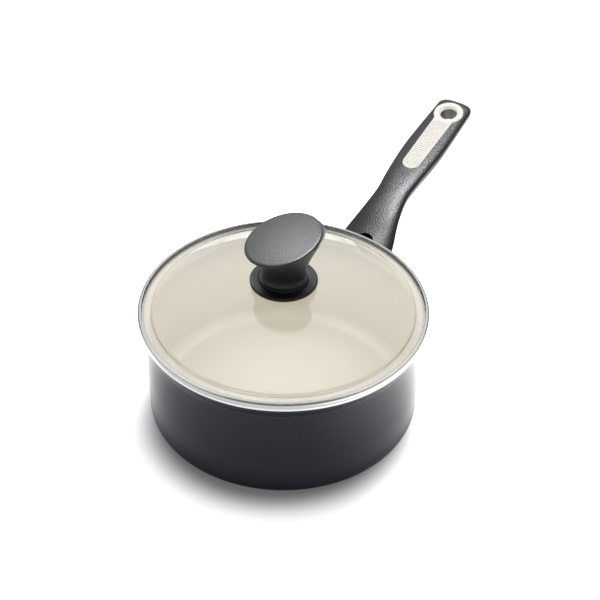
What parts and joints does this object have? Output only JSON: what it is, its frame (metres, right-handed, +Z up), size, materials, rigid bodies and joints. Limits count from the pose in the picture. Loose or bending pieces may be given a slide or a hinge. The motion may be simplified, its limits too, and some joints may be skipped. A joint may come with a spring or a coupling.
{
  "type": "saucepan with glass lid",
  "caption": "Deep round saucepan with flared rim, one raised side handle with a hanging hole, and a domed glass lid in a steel band with a slant-topped knob.",
  "frame": {"origin": "centre of the flat base, on the table", "axes": "+Z up along the pan's axis, +X out along the handle"},
  "size_m": [0.3417, 0.195, 0.1487],
  "materials": {
    "pan_coating": "pressed aluminium, satin charcoal enamel outside, cream ceramic non-stick inside, bare polished rim edge and turned base",
    "bracket_steel": "pressed steel, matt black coating",
    "grip_phenolic": "moulded phenolic, fine matt grain",
    "knob_phenolic": "moulded phenolic, fine spark-eroded grain on top",
    "inlay_cream": "soft cream plastic with fine cross ribs",
    "lid_glass": "clear tempered glass, polished",
    "rim_steel": "rolled stainless steel, satin",
    "insert_brass": "turned brass",
    "gasket_silicone": "translucent grey silicone",
    "plated_steel": "zinc plated steel"
  },
  "bodies": {
    "pan": {"pan_body": "pan_coating", "handle_bracket": "bracket_steel", "handle_grip": "grip_phenolic", "handle_inlay": "inlay_cream", "handle_screw": "plated_steel", "handle_washer": "plated_steel"},
    "lid": {"lid_glass": "lid_glass", "lid_rim_band": "rim_steel", "knob": "knob_phenolic", "knob_collar": "knob_phenolic", "knob_insert": "insert_brass", "knob_gasket_upper": "gasket_silicone", "knob_gasket_lower": "gasket_silicone", "knob_washer": "plated_steel", "knob_spring_washer": "plated_steel", "knob_screw": "plated_steel"}
  },
  "joints": [
    {"name": "lid_lift", "type": "slide", "parent": "pan", "child": "lid", "axis": [0, 0, 1], "range_m": [0, 0.13]}
  ]
}
